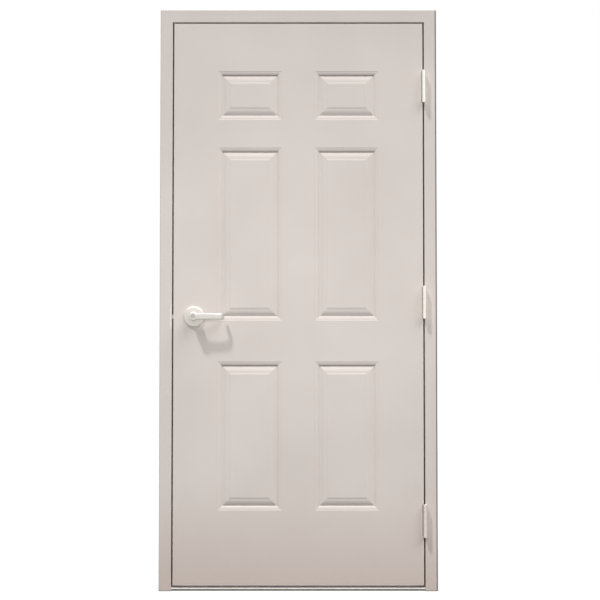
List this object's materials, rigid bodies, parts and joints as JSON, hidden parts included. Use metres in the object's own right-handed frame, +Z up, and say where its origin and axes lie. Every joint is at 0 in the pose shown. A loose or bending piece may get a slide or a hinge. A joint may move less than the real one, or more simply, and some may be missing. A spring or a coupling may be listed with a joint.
{
  "type": "six-panel steel door in a steel frame",
  "caption": "Pressed six-panel steel door leaf on butt hinges in a welded steel frame with a threshold, opened by a lever lock with a spring latch.",
  "frame": {"origin": "on the floor at the middle of the threshold's underside, which is the middle of the opening and of the frame's depth", "axes": "+Z up, +X to the right seen from the pull side (lock on the left, hinges on the right), -Y towards the viewer on the pull side"},
  "size_m": [1.0032, 0.1966, 2.1026],
  "materials": {
    "frame_paint": "warm pale grey factory paint, satin, on bent steel sheet",
    "leaf_paint": "warm pale grey factory paint, satin, on pressed steel sheet",
    "threshold_metal": "mill-finish extrusion",
    "hinge_steel": "satin plated steel",
    "pin_steel": "satin plated steel",
    "lock_trim": "bright satin plated cast metal",
    "key_plug": "satin brass plug",
    "latch_steel": "plated steel",
    "lock_body": "zinc plated steel, hidden",
    "inner_steel": "galvanised sheet inside the frame",
    "core_honeycomb": "paper honeycomb filling, hidden",
    "grey_rubber": "soft grey rubber"
  },
  "bodies": {
    "frame": {"strike_jamb": "frame_paint", "hinge_jamb": "frame_paint", "frame_head": "frame_paint", "threshold": "threshold_metal", "strike_plate": "latch_steel", "strike_box": "inner_steel", "silencers": "grey_rubber", "floor_clip_left": "inner_steel", "floor_clip_right": "inner_steel", "jamb_anchors_left": "inner_steel", "jamb_anchors_right": "inner_steel", "frame_hinge_plate_top": "hinge_steel", "frame_hinge_plate_middle": "hinge_steel", "frame_hinge_plate_bottom": "hinge_steel", "hinge_pin_top": "pin_steel", "hinge_pin_middle": "pin_steel", "hinge_pin_bottom": "pin_steel", "hinge_reinforcement_top": "inner_steel", "hinge_reinforcement_middle": "inner_steel", "hinge_reinforcement_bottom": "inner_steel"},
    "door": {"front_skin": "leaf_paint", "back_skin": "leaf_paint", "door_core": "core_honeycomb", "top_channel": "leaf_paint", "bottom_channel": "leaf_paint", "lock_chassis": "lock_body", "latch_faceplate": "latch_steel", "latch_tube": "lock_body", "front_rose": "lock_trim", "back_rose": "lock_trim", "door_hinge_plate_top": "hinge_steel", "door_hinge_plate_middle": "hinge_steel", "door_hinge_plate_bottom": "hinge_steel"},
    "lever": {"front_lever": "lock_trim", "back_lever": "lock_trim", "key_cylinder": "key_plug", "lever_spindle": "lock_body"},
    "latch": {"latch_bolt": "latch_steel"}
  },
  "joints": [
    {"name": "door_swing", "type": "hinge", "parent": "frame", "child": "door", "pos_m": [0.4546, -0.092, 1.037], "axis": [0, 0, 1], "range_deg": [0, 170]},
    {"name": "lever_turn", "type": "hinge", "parent": "door", "child": "lever", "pos_m": [-0.377, -0.0508, 0.986], "axis": [0, 1, 0], "range_deg": [0, 45], "stiffness_Nm_per_rad": 0.9, "springref_deg": -68.75},
    {"name": "latch_slide", "type": "slide", "parent": "door", "child": "latch", "axis": [1, 0, 0], "range_m": [0, 0.0127]}
  ],
  "couplings": [
    {"joint": "latch_slide", "follows": "lever_turn", "m_per_rad": 0.01617}
  ]
}
